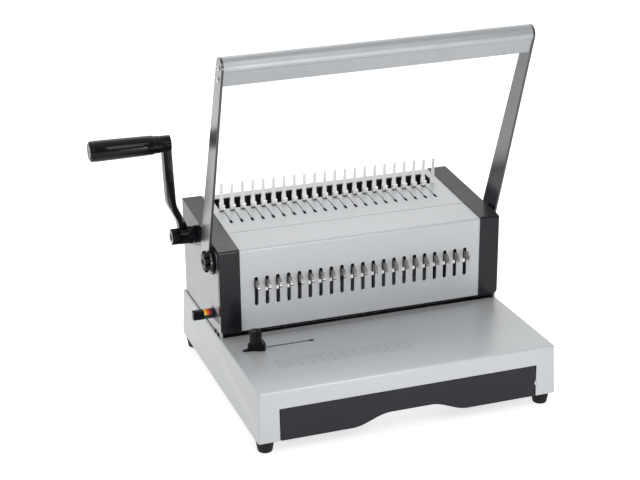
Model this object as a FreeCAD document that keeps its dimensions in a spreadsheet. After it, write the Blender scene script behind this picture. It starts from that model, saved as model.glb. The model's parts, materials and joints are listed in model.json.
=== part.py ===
"""Manual comb binding machine: punch and comb opener on one base.

Frame: +X to the operator's right, +Y to the rear, +Z up, millimetres.  Every sub-part is drawn in the
machine's own coordinates, where x = 0 is the middle of the comb pitch, y = 0 the front face of the
housing and z = 0 the surface it stands on.  The sheet's origin_x and origin_y then move the whole
machine so that the document's origin is at the bottom centre of its bounding box.
"""
import FreeCAD, Part
import math
import os

import Sketcher
from FreeCAD import Placement, Rotation, Vector

os.makedirs("parts", exist_ok=True)
doc = FreeCAD.newDocument("comb_binding_machine")

# ---------------------------------------------------------------------------------------------------
# Driving dimensions
# ---------------------------------------------------------------------------------------------------
SIZES = {
    "origin_x": 59.5,
    "origin_y": -10.0,
    # comb pitch: 21 holes, 9/16 inch apart
    "hole_pitch": 14.2875,
    "hole_count": 21,
    "hole_length": 8.0,
    "hole_width": 3.0,
    "hole_line_y": 14.0,
    # base
    "base_width": 385.0,
    "base_front": 161.5,
    "base_rear": 181.5,
    "base_flare": 2.4,
    "base_bottom": 17.5,
    "table_top": 82.0,
    "base_gauge": 1.5,
    "base_round": 3.0,
    "foot_x": 182.0,
    "foot_front": 148.0,
    "foot_rear": 170.0,
    "foot_top_radius": 12.0,
    "foot_tip_radius": 9.0,
    # chip drawer
    "drawer_half_width": 166.8,
    "drawer_height": 58.0,
    "drawer_gauge": 2.5,
    "drawer_depth": 210.0,
    "finger_room": 22.0,
    "arch_half_width": 76.0,
    "arch_rise": 13.0,
    "arch_run": 50.0,
    # housing
    "housing_half": 190.0,
    "housing_depth": 171.5,
    "housing_top": 198.0,
    "top_rise": 16.4,
    "throat_top": 90.0,
    "plate_gauge": 2.0,
    "cover_gauge": 1.2,
    "cheek_width": 27.0,
    "cheek_proud": 1.2,
    "cheek_lip": 7.0,
    "cheek_skin": 0.8,
    "cheek_corner": 5.0,
    "seam_s": 52.6,
    "seam_gap": 0.8,
    "bend_radius": 3.0,
    # slots of the front cover and of the top plate
    "front_slot_width": 5.0,
    "front_slot_bottom": 122.0,
    "front_slot_top": 160.4,
    "trough_front": 124.5,
    "trough_rear": 159.0,
    "trough_half": 153.6,
    "trough_depth": 18.0,
    # tines
    "tine_height": 37.0,
    "tine_gauge": 1.5,
    "hook_offset": 6.0,
    # punch drive
    "pivot_y": 27.0,
    "pivot_z": 179.0,
    "punch_travel": 14.0,
    "handle_swing": 70.0,
    "punch_shaft_radius": 8.0,
    "bar_bottom": 138.0,
    "bar_top": 160.0,
    "bar_half": 172.0,
    "bar_front": 6.0,
    "bar_rear": 26.0,
    "punch_tip": 88.5,
    "guide_bottom": 86.7,
    "guide_top": 102.0,
    "rack_x": 165.0,
    "gear_teeth": 20,
    "gear_width": 9.0,
    # bail handle
    "handle_lean": 20.5,
    "handle_length": 293.0,
    "bar_rise": 6.8,
    "arm_inner": 194.0,
    "arm_gauge": 3.0,
    "arm_axis": 17.05,
    "grip_bar_width": 22.0,
    "grip_bar_height": 32.4,
    "grip_bar_wall": 2.0,
    # comb opener
    "crank_y": 112.0,
    "crank_z": 185.0,
    "crank_lean": 9.0,
    "crank_throw": 121.7,
    "crank_swing": 120.0,
    "crank_shaft_radius": 6.0,
    "crank_collar": 10.3,
    "hook_travel": 31.0,
    "grip_outer_x": 318.0,
    "grip_inner_x": -226.0,
    "grip_radius": 13.5,
    "grip_inner_radius": 12.3,
    # clearances
    "running": 0.05,
    "gap": 0.3,
}

sheet = doc.addObject("Spreadsheet::Sheet", "Sizes")
for row, (alias, amount) in enumerate(SIZES.items(), start=1):
    sheet.set(f"A{row}", alias)
    sheet.set(f"B{row}", str(amount))
    sheet.setAlias(f"B{row}", alias)
doc.recompute()


class Dim:
    """A length that knows both its value and the sheet expression that gives it."""

    def __init__(self, value, text=None):
        self.value = float(value)
        self.text = repr(self.value) if text is None else text

    @staticmethod
    def of(other):
        return other if isinstance(other, Dim) else Dim(other)

    def join(self, other, sign, value):
        return Dim(value, f"({self.text} {sign} {other.text})")

    def __add__(self, other):
        other = Dim.of(other)
        return self.join(other, "+", self.value + other.value)

    def __sub__(self, other):
        other = Dim.of(other)
        return self.join(other, "-", self.value - other.value)

    def __mul__(self, other):
        other = Dim.of(other)
        return self.join(other, "*", self.value * other.value)

    def __truediv__(self, other):
        other = Dim.of(other)
        return self.join(other, "/", self.value / other.value)

    def __radd__(self, other):
        return Dim.of(other) + self

    def __rsub__(self, other):
        return Dim.of(other) - self

    def __rmul__(self, other):
        return Dim.of(other) * self

    def __neg__(self):
        return Dim(-self.value, f"(-1 * {self.text})")


class Sheet:
    """Gives each alias of the sheet as a Dim."""

    def __getattr__(self, alias):
        return Dim(sheet.get(alias), f"Sizes.{alias}")


D = Sheet()
SLOPE = math.degrees(math.atan(SIZES["top_rise"] / SIZES["housing_depth"]))
RISE = D.top_rise / D.housing_depth
SLOPE_TEXT = "atan(Sizes.top_rise / Sizes.housing_depth)"
SLOPE_DIM = Dim(SLOPE, SLOPE_TEXT)
FIRST_SLOT = -1 * D.hole_pitch * (D.hole_count - 1) / 2
FIRST_HOOK = FIRST_SLOT - D.hook_offset


# ---------------------------------------------------------------------------------------------------
# Document helpers
# ---------------------------------------------------------------------------------------------------
def bind(item, name, dim):
    item.setExpression(name, Dim.of(dim).text)


def place(item, x=0, y=0, z=0, turn=None):
    """Puts an object at a point of the machine, turned by `turn` degrees about X."""
    angle = 0.0 if turn is None else turn.value
    item.Placement = Placement(Vector(0, 0, 0), Rotation(Vector(1, 0, 0), angle))
    bind(item, "Placement.Base.x", D.origin_x + x)
    bind(item, "Placement.Base.y", D.origin_y + y)
    bind(item, "Placement.Base.z", z)
    if turn is not None:
        bind(item, "Placement.Rotation.Angle", turn)
    return item


def new_body(name, x=0, y=0, z=0, turn=None):
    body = doc.addObject("PartDesign::Body", name)
    body.Label = name
    return place(body, x, y, z, turn)


def in_top_plane(name):
    """A body drawn in the plane of the sloping top: local Y runs up the slope, local Z out of it."""
    return new_body(name, 0, 0, D.housing_top, SLOPE_DIM)


def new_sketch(body, plane, offset):
    sketch = body.newObject("Sketcher::SketchObject", f"{body.Name}_sketch")
    support = next(item for item in body.Origin.OriginFeatures if item.Role == plane)
    sketch.AttachmentSupport = (support, [""])
    sketch.MapMode = "FlatFace"
    sketch.AttachmentOffset = Placement(Vector(0, 0, Dim.of(offset).value), Rotation())
    bind(sketch, "AttachmentOffset.Base.z", offset)
    return sketch


def fix_point(sketch, geometry, end, x, y):
    for axis, amount in (("DistanceX", x), ("DistanceY", y)):
        dim = Dim.of(amount)
        index = sketch.addConstraint(Sketcher.Constraint(axis, -1, 1, geometry, end, dim.value))
        bind(sketch, f"Constraints[{index}]", dim)


def draw_outline(sketch, points):
    """Closed outline of straight lines through the points."""
    corners = [(Dim.of(x), Dim.of(y)) for x, y in points]
    count = len(corners)
    for index, (x, y) in enumerate(corners):
        end_x, end_y = corners[(index + 1) % count]
        start = Vector(x.value, y.value, 0)
        sketch.addGeometry(Part.LineSegment(start, Vector(end_x.value, end_y.value, 0)))
    for index, (x, y) in enumerate(corners):
        sketch.addConstraint(Sketcher.Constraint("Coincident", index, 2, (index + 1) % count, 1))
        fix_point(sketch, index, 1, x, y)


def draw_circle(sketch, x, y, radius):
    x, y, radius = Dim.of(x), Dim.of(y), Dim.of(radius)
    circle = sketch.addGeometry(Part.Circle(Vector(x.value, y.value, 0), Vector(0, 0, 1), radius.value))
    fix_point(sketch, circle, 3, x, y)
    index = sketch.addConstraint(Sketcher.Constraint("Radius", circle, radius.value))
    bind(sketch, f"Constraints[{index}]", radius)


def draw_slot(sketch, x, bottom, top, width):
    """Upright slot with half-round ends."""
    x, radius = Dim.of(x), Dim.of(width) / 2
    low, high = Dim.of(bottom) + radius, Dim.of(top) - radius
    for centre, start in ((high, 0.0), (low, math.pi)):
        circle = Part.Circle(Vector(x.value, centre.value, 0), Vector(0, 0, 1), radius.value)
        arc = sketch.addGeometry(Part.ArcOfCircle(circle, start, start + math.pi))
        fix_point(sketch, arc, 3, x, centre)
    for side in (-1, 1):
        edge = x.value + side * radius.value
        line = Part.LineSegment(Vector(edge, low.value, 0), Vector(edge, high.value, 0))
        sketch.addGeometry(line)
    for arc, end, line, line_end in ((0, 2, 2, 2), (1, 1, 2, 1), (1, 2, 3, 1), (0, 1, 3, 2)):
        sketch.addConstraint(Sketcher.Constraint("Tangent", arc, end, line, line_end))
    index = sketch.addConstraint(Sketcher.Constraint("Radius", 0, radius.value))
    bind(sketch, f"Constraints[{index}]", radius)


def draw(sketch, shape):
    kind, *numbers = shape
    {"outline": draw_outline, "circle": draw_circle, "slot": draw_slot}[kind](sketch, *numbers)


def rectangle(left, bottom, right, top):
    return ("outline", [(left, bottom), (right, bottom), (right, top), (left, top)])


def add(body, plane, shape, start, end):
    """Pads a shape drawn on an origin plane from start to end along that plane's machine axis."""
    along = -1 if plane == "XZ_Plane" else 1
    sketch = new_sketch(body, plane, along * Dim.of(start))
    draw(sketch, shape)
    feature = body.newObject("PartDesign::Pad", f"{body.Name}_pad")
    feature.Profile = sketch
    feature.Reversed = along < 0
    bind(feature, "Length", Dim.of(end) - start)
    doc.recompute()
    return feature


def remove(body, plane, shape, start, end):
    """Pockets a shape from start to end; the volume has to drop."""
    before = body.Shape.Volume
    along = -1 if plane == "XZ_Plane" else 1
    sketch = new_sketch(body, plane, along * Dim.of(start))
    draw(sketch, shape)
    feature = body.newObject("PartDesign::Pocket", f"{body.Name}_pocket")
    feature.Profile = sketch
    feature.Reversed = along > 0
    bind(feature, "Length", Dim.of(end) - start)
    doc.recompute()
    if body.Shape.Volume >= before - 0.01:
        raise RuntimeError(f"{body.Label}: a pocket removed nothing")
    return feature


def row_of(body, features, spacing, count):
    """Repeats features along +X."""
    pattern = body.newObject("PartDesign::LinearPattern", f"{body.Name}_row")
    pattern.Originals = features
    pattern.Direction = (features[0].Profile[0], ["H_Axis"])
    bind(pattern, "Length", spacing * (Dim.of(count) - 1))
    bind(pattern, "Occurrences", count)
    body.Tip = pattern
    doc.recompute()
    return pattern


def ring_of(body, features, count, about="X_Axis"):
    """Repeats features about an axis of the body."""
    pattern = body.newObject("PartDesign::PolarPattern", f"{body.Name}_ring")
    pattern.Originals = features
    axis = next(item for item in body.Origin.OriginFeatures if item.Role == about)
    pattern.Axis = (axis, [""])
    pattern.Angle = 360
    pattern.Occurrences = count
    body.Tip = pattern
    doc.recompute()
    return pattern


def round_edges(body, radius, wanted):
    """Fillets the edges whose end points, in the body's own frame, pass the test."""
    base = body.Tip
    names = []
    for index, edge in enumerate(base.Shape.Edges, start=1):
        ends = [vertex.Point for vertex in edge.Vertexes]
        if len(ends) == 2 and wanted(*ends):
            names.append(f"Edge{index}")
    if not names:
        raise RuntimeError(f"{body.Label}: no edge to round")
    fillet = body.newObject("PartDesign::Fillet", f"{body.Name}_fillet")
    fillet.Base = (base, names)
    bind(fillet, "Radius", radius)
    doc.recompute()
    return fillet



def rod(name, start_x, end_x, y, z, radius):
    """Part cylinder along X."""
    item = doc.addObject("Part::Cylinder", name)
    bind(item, "Radius", radius)
    bind(item, "Height", Dim.of(end_x) - start_x)
    item.Placement = Placement(Vector(0, 0, 0), Rotation(Vector(0, 1, 0), 90))
    bind(item, "Placement.Base.x", D.origin_x + start_x)
    bind(item, "Placement.Base.y", D.origin_y + y)
    bind(item, "Placement.Base.z", z)
    return item


def cut(name, base, tool):
    item = doc.addObject("Part::Cut", name)
    item.Base = base
    item.Tool = tool
    return item



def group(name, items):
    """Several separate solids in one sub-part."""
    item = doc.addObject("Part::Compound", name)
    item.Links = items
    return item






# ---------------------------------------------------------------------------------------------------
# Gearing: 20 degree teeth with a little backlash
# ---------------------------------------------------------------------------------------------------
PRESSURE = math.radians(20)
BACKLASH = 0.25


def rack_outline(module, low, high, back):
    """(u, v) points of a rack along u: teeth towards +v, a gap at u = 0, its back at v = back."""
    pitch = math.pi * module
    flank = math.tan(PRESSURE)
    half = pitch / 4 - BACKLASH / 2
    tip, root = 0.95 * module, -1.25 * module
    points = [(low, back), (low, root)]
    first = math.ceil((low + 0.5 * pitch) / pitch - 0.5)
    last = math.floor((high - 0.5 * pitch) / pitch - 0.5)
    for tooth in range(first, last + 1):
        centre = (tooth + 0.5) * pitch
        points += [
            (centre - half + root * flank, root),
            (centre - half + tip * flank, tip),
            (centre + half - tip * flank, tip),
            (centre + half - root * flank, root),
        ]
    return points + [(high, root), (high, back)]


def exact_pitch_radius(travel, swing):
    return travel.value / math.radians(swing.value)


def on_slope(s, n):
    """(y, z) of a point s along and n above the sloping top."""
    s, n = Dim.of(s), Dim.of(n)
    cosine = Dim(math.cos(math.radians(SLOPE)), f"cos({SLOPE_TEXT})")
    sine = Dim(math.sin(math.radians(SLOPE)), f"sin({SLOPE_TEXT})")
    return s * cosine - n * sine, D.housing_top + s * sine + n * cosine


def across(side, near, far):
    """Start and end in x of something between near and far on one side of the machine."""
    near, far = Dim.of(near), Dim.of(far)
    return (near, far) if side > 0 else (-far, -near)


# ---------------------------------------------------------------------------------------------------
# Base
# ---------------------------------------------------------------------------------------------------
def base_casing():
    """Pressed steel casing, open below, its walls flaring a little towards the bottom."""
    body = new_body("base_casing")
    half = D.base_width / 2
    wide, deep = half + D.base_flare, D.base_flare
    edge = rectangle(-wide, -D.base_front - deep, wide, D.base_rear + deep)
    walls = add(body, "XY_Plane", edge, D.base_bottom, D.table_top)
    height = D.table_top - D.base_bottom
    taper = math.degrees(math.atan(D.base_flare.value / height.value))
    lean = Dim(-taper, f"-1 * atan({D.base_flare.text} / {height.text})")
    bind(walls, "TaperAngle", lean)
    doc.recompute()
    top = SIZES["table_top"] - 0.01
    round_edges(body, D.base_round, lambda a, b: max(a.z, b.z) > top)
    wall = D.base_gauge
    cavity = rectangle(-wide + wall, -D.base_front - deep + wall, wide - wall, D.base_rear + deep - wall)
    inside = remove(body, "XY_Plane", cavity, D.base_bottom, D.table_top - wall)
    bind(inside, "TaperAngle", lean)
    doc.recompute()
    mouth = D.drawer_half_width + 1.0
    remove(
        body,
        "XZ_Plane",
        rectangle(-mouth, D.base_bottom - 1, mouth, D.drawer_height + 0.5),
        -D.base_front - 5,
        -D.base_front + 5,
    )
    remove(body, "XY_Plane", rectangle(-168, -42, -86, -37.8), D.table_top - 4, D.table_top + 1)
    remove(body, "XY_Plane", rectangle(-88, -43.2, -82, -36.6), D.table_top - 4, D.table_top + 1)
    die = D.hole_line_y
    remove(body, "XY_Plane", rectangle(-160, die - 9, 160, die + 10), D.table_top - 4, D.table_top + 1)
    return body


def base_plate():
    """Bottom sheet of the base, set back so that the arch of the drawer is open below."""
    body = new_body("base_plate")
    half = D.base_width / 2
    edge = rectangle(-half, -D.base_front + 33, half, D.base_rear - 0.5)
    add(body, "XY_Plane", edge, D.base_bottom, D.base_bottom + 1.8)
    return body


def rubber_feet():
    feet = []
    for x in (-D.foot_x, D.foot_x):
        for y in (-D.foot_front, D.foot_rear):
            foot = doc.addObject("Part::Cone", f"foot_{len(feet) + 1}")
            bind(foot, "Radius1", D.foot_tip_radius)
            bind(foot, "Radius2", D.foot_top_radius)
            bind(foot, "Height", D.base_bottom)
            feet.append(place(foot, x, y, 0))
    return group("rubber_feet", feet)


def drawer_runners():
    """Angle rail on each side of the drawer."""
    rails = []
    low = D.base_bottom + 1.8
    for side in (-1, 1):
        rail = new_body(f"runner_{side + 2}")
        inner, web, foot = side * 163.5, side * 165, side * 174
        section = [(inner, low), (foot, low), (foot, low + 1.5), (web, low + 1.5), (web, 31), (inner, 31)]
        add(rail, "XZ_Plane", ("outline", section), -150, 60)
        rails.append(rail)
    return group("drawer_runners", rails)


# ---------------------------------------------------------------------------------------------------
# Chip drawer
# ---------------------------------------------------------------------------------------------------
def chip_drawer():
    """Open tray; a gap between its front wall and the front panel leaves room for the fingers."""
    body = new_body("chip_drawer")
    front = -D.base_front + 1.8
    rear = front + D.drawer_depth
    floor = D.base_bottom + 3
    half = D.drawer_half_width - 6
    add(body, "XY_Plane", rectangle(-half, front, half, rear), floor, D.drawer_height - 3)
    hold = rectangle(-half + 11, front - 1, half - 11, front + D.finger_room)
    remove(body, "XY_Plane", hold, floor - 1, D.drawer_height)
    inner = rectangle(-half + 2, front + D.finger_room + 2, half - 2, rear - 2)
    remove(body, "XY_Plane", inner, floor + 2, D.drawer_height)
    return body


def arch(half, low, rise, run, steps=12):
    """Points of an arch with S-shaped flanks, from left to right."""
    points = []
    for index in range(steps + 1):
        share = index / steps
        height = rise * (1 - math.cos(math.pi * share)) / 2
        points.append((-half + run * share, low + height))
    return points + [(-x, z) for x, z in reversed(points)]


def drawer_front():
    """Front panel, its lower edge arched up as a finger hold."""
    body = new_body("drawer_front")
    half = D.drawer_half_width
    low, top = 16.3, D.drawer_height - 0.1
    outline = [(-half, low)] + arch(D.arch_half_width, low, D.arch_rise, D.arch_run) + [(half, low)]
    outline += [(half, top), (-half, top)]
    face = -D.base_front - 0.7
    add(body, "XZ_Plane", ("outline", outline), face, face + D.drawer_gauge)
    corner = SIZES["drawer_half_width"] - 0.01
    round_edges(body, 1.5, lambda a, b: min(abs(a.x), abs(b.x)) > corner and abs(a.y - b.y) > 1)
    return body


# ---------------------------------------------------------------------------------------------------
# Housing
# ---------------------------------------------------------------------------------------------------
def side_plate(side, name, bores):
    body = new_body(name)
    outer, inner = D.housing_half, D.housing_half - D.plate_gauge
    rear = D.housing_depth - 0.5
    seat = -2.02
    outline = [
        (2, D.table_top),
        (rear, D.table_top),
        (rear, D.housing_top + seat + rear * RISE),
        (2, D.housing_top + seat + 2 * RISE),
    ]
    add(body, "YZ_Plane", ("outline", outline), *across(side, inner, outer))
    ledge = [on_slope(60, -10.3), on_slope(150, -10.3), on_slope(150, -7.3), on_slope(60, -7.3)]
    add(body, "YZ_Plane", ("outline", ledge), *across(side, inner - 12, inner + 0.5))
    for y, z, radius in bores:
        remove(body, "YZ_Plane", ("circle", y, z, radius), *across(side, inner - 1, outer + 1))
    return body


def cheek(side, name):
    """Trim that wraps the front and the top of one end of the housing, with a tapering side wing."""
    body = new_body(name)
    outer, proud, skin = D.housing_half, D.cheek_proud, D.cheek_skin
    inner = outer + skin - D.cheek_width
    end = 172.2
    band = [
        (-proud, D.throat_top),
        (2, D.throat_top),
        (2, D.housing_top - 2 + 2 * RISE),
        on_slope(end - 1.6, -2),
        on_slope(end - 1.6, -1.3),
        on_slope(end, -1.3),
        on_slope(end, proud),
        (-proud, D.housing_top + proud),
    ]
    add(body, "YZ_Plane", ("outline", band), *across(side, inner + D.cheek_lip, outer + skin))
    lip = [
        (-proud, D.throat_top),
        (0, D.throat_top),
        (0, D.housing_top),
        on_slope(end, 0),
        on_slope(end, proud),
        (-proud, D.housing_top + proud),
    ]
    add(body, "YZ_Plane", ("outline", lip), *across(side, inner, inner + D.cheek_lip + 0.5))
    wing = [
        (2, D.throat_top + 10),
        (6, D.throat_top + 14),
        (6, D.housing_top - 4),
        (24, D.housing_top - 2),
        (171, 152.7),
        on_slope(end - 0.5, -1.5),
        (2, D.housing_top - 1.5),
    ]
    add(body, "YZ_Plane", ("outline", wing), *across(side, outer, outer + skin))
    if side < 0:
        bore = ("circle", D.crank_y, D.crank_z, D.crank_collar + 0.4)
        remove(body, "YZ_Plane", bore, *across(side, outer - 1, outer + skin + 1))
    front_top = SIZES["housing_top"] + SIZES["cheek_proud"] - 0.01
    round_edges(
        body,
        D.bend_radius,
        lambda a, b: min(a.z, b.z) > front_top and abs(a.x - b.x) > 1 and max(a.y, b.y) < -1,
    )
    corner = SIZES["housing_half"] + SIZES["cheek_skin"] - 0.01
    low = SIZES["throat_top"] + 0.01
    round_edges(
        body,
        D.cheek_corner,
        lambda a, b: min(abs(a.x), abs(b.x)) > corner and max(a.z, b.z) < low and abs(a.y - b.y) > 1,
    )
    return body


def front_cover():
    """Front sheet, bent over the top edge as far as the seam, with one slot per punch."""
    body = new_body("front_cover")
    half = D.housing_half + D.cheek_skin - D.cheek_width + D.cheek_lip
    gauge = D.cover_gauge
    section = [
        (0, D.throat_top),
        (gauge, D.throat_top),
        (gauge, D.housing_top - gauge),
        on_slope(D.seam_s - D.seam_gap, -gauge),
        on_slope(D.seam_s - D.seam_gap, 0),
        (0, D.housing_top),
    ]
    add(body, "YZ_Plane", ("outline", section), -half, half)
    top = SIZES["housing_top"] - 0.01
    round_edges(body, D.bend_radius, lambda a, b: min(a.z, b.z) > top and max(abs(a.y), abs(b.y)) < 0.01)
    slot = ("slot", FIRST_SLOT, D.front_slot_bottom, D.front_slot_top, D.front_slot_width)
    first = remove(body, "XZ_Plane", slot, -1, gauge + 1)
    row_of(body, [first], D.hole_pitch, D.hole_count)
    return body


def hook_slot():
    """Outline of one slot of the top plate: wide front end, thin run, cross slit at the rear."""
    x = FIRST_HOOK
    wide, thin = 1.9, 0.6
    return [
        (x - wide, 80),
        (x + wide, 80),
        (x + wide, 90),
        (x + thin, 90),
        (x + thin, 120.6),
        (x - 5.5, 120.6),
        (x - 5.5, 116),
        (x - thin, 116),
        (x - thin, 90),
        (x - wide, 90),
    ]


def top_plate():
    body = in_top_plane("top_plate")
    half = D.housing_half + D.cheek_skin - D.cheek_width + D.cheek_lip
    gauge = D.cover_gauge
    add(body, "XY_Plane", rectangle(-half, D.seam_s, half, 172.2), -gauge, 0)
    trough = rectangle(-D.trough_half, D.trough_front, D.trough_half, D.trough_rear)
    remove(body, "XY_Plane", trough, -gauge - 1, 1)
    first = remove(body, "XY_Plane", ("outline", hook_slot()), -gauge - 1, 1)
    row_of(body, [first], D.hole_pitch, D.hole_count)
    return body


def rear_cover():
    """Flat rear sheet."""
    body = new_body("rear_cover")
    rear = D.housing_depth
    half = D.housing_half
    add(body, "XZ_Plane", rectangle(-half, D.table_top, half, D.housing_top + 15), rear - 0.3, rear + 0.9)
    return body


def comb_trough():
    """Tray under the opening of the top, for the spine of the comb."""
    body = in_top_plane("comb_trough")
    front, rear = D.trough_front + 1.7, D.trough_rear + 1
    half, depth = D.trough_half, D.trough_depth
    add(body, "XY_Plane", rectangle(-half, front, half, rear), -depth, -1.2)
    remove(body, "XY_Plane", rectangle(-half + 1, front + 1, half - 1, rear - 1), -depth + 1, 0)
    return body


def tine_comb():
    """Rail under the top with a row of fixed tines welded to it, which hold the comb's rings."""
    front = D.trough_front
    rear = front + D.tine_gauge
    top = D.tine_height
    seat = -1.4
    rail = in_top_plane("tine_rail")
    half = D.trough_half - 0.2
    add(rail, "XZ_Plane", rectangle(-half, -14, half, seat), front, rear)
    body = in_top_plane("tine")
    x = FIRST_SLOT - D.hole_pitch / 2
    tine = [
        (x - 3.2, seat),
        (x + 3.2, seat),
        (x + 3.2, 7),
        (x + 2.0, 22),
        (x + 1.8, top - 1.2),
        (x + 0.9, top),
        (x - 1.2, top),
        (x - 2.0, top - 1.2),
        (x - 2.1, 22),
        (x - 3.2, 7),
    ]
    add(body, "XZ_Plane", ("outline", tine), front, rear)
    return repeat("tine_comb", body, SIZES["hole_count"] + 1, [rail.Shape])


def punch_guide():
    """Bar that guides the punches above the throat."""
    body = new_body("punch_guide")
    line = D.hole_line_y
    bottom, top = D.guide_bottom, D.guide_top
    add(body, "XY_Plane", rectangle(-188, line - 11.5, 188, line + 10), bottom, top)
    long_side, short_side = D.hole_length / 2 + 0.15, D.hole_width / 2 + 0.15
    hole = rectangle(FIRST_SLOT - long_side, line - short_side, FIRST_SLOT + long_side, line + short_side)
    first = remove(body, "XY_Plane", hole, bottom - 1, top + 1)
    row_of(body, [first], D.hole_pitch, D.hole_count)
    return body


def die_plate():
    """Hardened plate under the throat, level with the table."""
    body = new_body("die_plate")
    line = D.hole_line_y
    add(body, "XY_Plane", rectangle(-160, line - 9, 160, line + 10), D.table_top - 5, D.table_top)
    long_side, short_side = D.hole_length / 2 + 0.2, D.hole_width / 2 + 0.2
    hole = rectangle(FIRST_SLOT - long_side, line - short_side, FIRST_SLOT + long_side, line + short_side)
    first = remove(body, "XY_Plane", hole, D.table_top - 6, D.table_top + 1)
    row_of(body, [first], D.hole_pitch, D.hole_count)
    return body


BUSHES = {
    "handle_left": (-1, D.pivot_y, D.pivot_z, 11, D.punch_shaft_radius + D.running, 190.4),
    "handle_right": (1, D.pivot_y, D.pivot_z, 11, D.punch_shaft_radius + D.running, 190.4),
    "crank_left": (-1, D.crank_y, D.crank_z, D.crank_collar, D.crank_shaft_radius + D.running, 200.7),
    "crank_right": (1, D.crank_y, D.crank_z, 9, D.crank_shaft_radius + D.running, 190.0),
    "margin_left": (-1, 35, 105, 5, 3.05, 190.0),
}


def shaft_bushes():
    rings = []
    for name, (side, y, z, outer, inner, face) in BUSHES.items():
        start, end = across(side, 186, face)
        sleeve = rod(f"{name}_sleeve", start, end, y, z, outer)
        bore = rod(f"{name}_bore", start - 1, end + 1, y, z, inner)
        rings.append(cut(f"{name}_bush", sleeve, bore))
    return group("shaft_bushes", rings)


# ---------------------------------------------------------------------------------------------------
# Handle and punch drive
# ---------------------------------------------------------------------------------------------------
PUNCH_RADIUS = exact_pitch_radius(D.punch_travel, D.handle_swing)
PUNCH_MODULE = 2 * PUNCH_RADIUS / SIZES["gear_teeth"]
HOOK_RADIUS = exact_pitch_radius(D.hook_travel, D.crank_swing)
HOOK_MODULE = 2 * HOOK_RADIUS / SIZES["gear_teeth"]


def handle_bar():
    """Hollow bar with a rounded crown between the two arms, its right end a little higher."""
    body = new_body("handle_bar", 0, D.pivot_y, D.pivot_z, D.handle_lean)
    wall, radius = D.grip_bar_wall, D.grip_bar_width / 2
    axis, crown = D.arm_axis, D.handle_length - D.grip_bar_width / 2 - D.bar_rise / 2
    foot = D.handle_length - D.grip_bar_height - D.bar_rise / 2
    half = D.arm_inner
    hollow = rectangle(axis - radius + wall, foot + wall, axis + radius - wall, crown)
    features = [
        add(body, "YZ_Plane", rectangle(axis - radius, foot, axis + radius, crown), -half, half),
        add(body, "YZ_Plane", ("circle", axis, crown, radius), -half, half),
        remove(body, "YZ_Plane", hollow, -half, half),
        remove(body, "YZ_Plane", ("circle", axis, crown, radius - wall), -half, half),
    ]
    for feature in features:
        along = 1 if feature.TypeId == "PartDesign::Pad" else -1
        feature.UseCustomVector = True
        feature.Direction = Vector(along, 0, along * D.bar_rise.value / (2 * half.value))
        feature.AlongSketchNormal = True
        bind(feature, "Direction.z", along * D.bar_rise / (2 * half))
    doc.recompute()
    return body


def handle_arm(side, name):
    """Flat arm, widest near the pivot, that carries one end of the bar."""
    body = new_body(name, 0, D.pivot_y, D.pivot_z, D.handle_lean)
    span = across(side, D.arm_inner, D.arm_inner + D.arm_gauge)
    tip = 11.4
    crown = D.handle_length - tip + side * D.bar_rise / 2
    plate = [
        (0, -13),
        (30, -8),
        (35, 10),
        (D.arm_axis + tip, crown),
        (D.arm_axis - tip, crown),
        (-0.5, 0),
    ]
    add(body, "YZ_Plane", ("outline", plate), *span)
    add(body, "YZ_Plane", ("circle", D.arm_axis, crown, tip), *span)
    add(body, "YZ_Plane", ("circle", 0, 0, 14), *span)
    if side < 0:
        remove(body, "YZ_Plane", ("circle", 0, 0, 4.4), -D.arm_inner - D.arm_gauge - 1, -D.arm_inner + 1)
    return body


def handle_screws():
    heads = []
    lean = math.radians(SIZES["handle_lean"])
    for side in (-1, 1):
        for level in (-28, -13):
            height = SIZES["handle_length"] + level + side * SIZES["bar_rise"] / 2
            start, end = across(side, D.arm_inner + D.arm_gauge, D.arm_inner + D.arm_gauge + 2)
            y = D.pivot_y + D.arm_axis * math.cos(lean) - height * math.sin(lean)
            z = D.pivot_z + D.arm_axis * math.sin(lean) + height * math.cos(lean)
            name = f"screw_{len(heads) + 1}"
            head = rod(f"{name}_head", start, end, y, z, 3.4)
            socket_start, socket_end = across(side, D.arm_inner + D.arm_gauge + 0.8, 200)
            socket = rod(f"{name}_socket", socket_start, socket_end, y, z, 1.6)
            heads.append(cut(name, head, socket))
    return group("handle_screws", heads)


def tooth_outline(module, width_root, towards=0.0):
    """One gear tooth centred on a direction, sunk a little into the root circle."""
    teeth = SIZES["gear_teeth"]
    pitch = module * teeth / 2
    base, tip = pitch * math.cos(PRESSURE), pitch + 0.95 * module
    half_tooth = (math.pi * module / 2 - BACKLASH) / (2 * pitch)
    rolled = math.tan(PRESSURE) - PRESSURE
    radii = [base, (base + pitch) / 2, pitch, tip]
    side = [(width_root, half_tooth + rolled)]
    for radius in radii:
        angle = math.acos(min(1.0, base / radius))
        side.append((radius, half_tooth + rolled - (math.tan(angle) - angle)))
    rim = [(radius, -angle) for radius, angle in side] + list(reversed(side))
    return [(radius * math.cos(towards + angle), radius * math.sin(towards + angle)) for radius, angle in rim]


def geared_shaft(name, y, z, radius, start, end, module, gear_x, towards, bore=None):
    """Shaft with the same pinion near each end."""
    body = new_body(name, 0, y, z)
    add(body, "YZ_Plane", ("circle", 0, 0, radius), start, end)
    root = module * (SIZES["gear_teeth"] / 2 - 1.25)
    tooth = tooth_outline(module, root - 0.4, towards)
    teeth = []
    for side in (-1, 1):
        span = across(side, gear_x - D.gear_width / 2, gear_x + D.gear_width / 2)
        add(body, "YZ_Plane", ("circle", 0, 0, root), *span)
        teeth.append(add(body, "YZ_Plane", ("outline", tooth), *span))
    ring_of(body, teeth, SIZES["gear_teeth"])
    if bore is not None:
        remove(body, "YZ_Plane", ("circle", 0, 0, bore), start - 1, -174.5)
    return body


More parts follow.
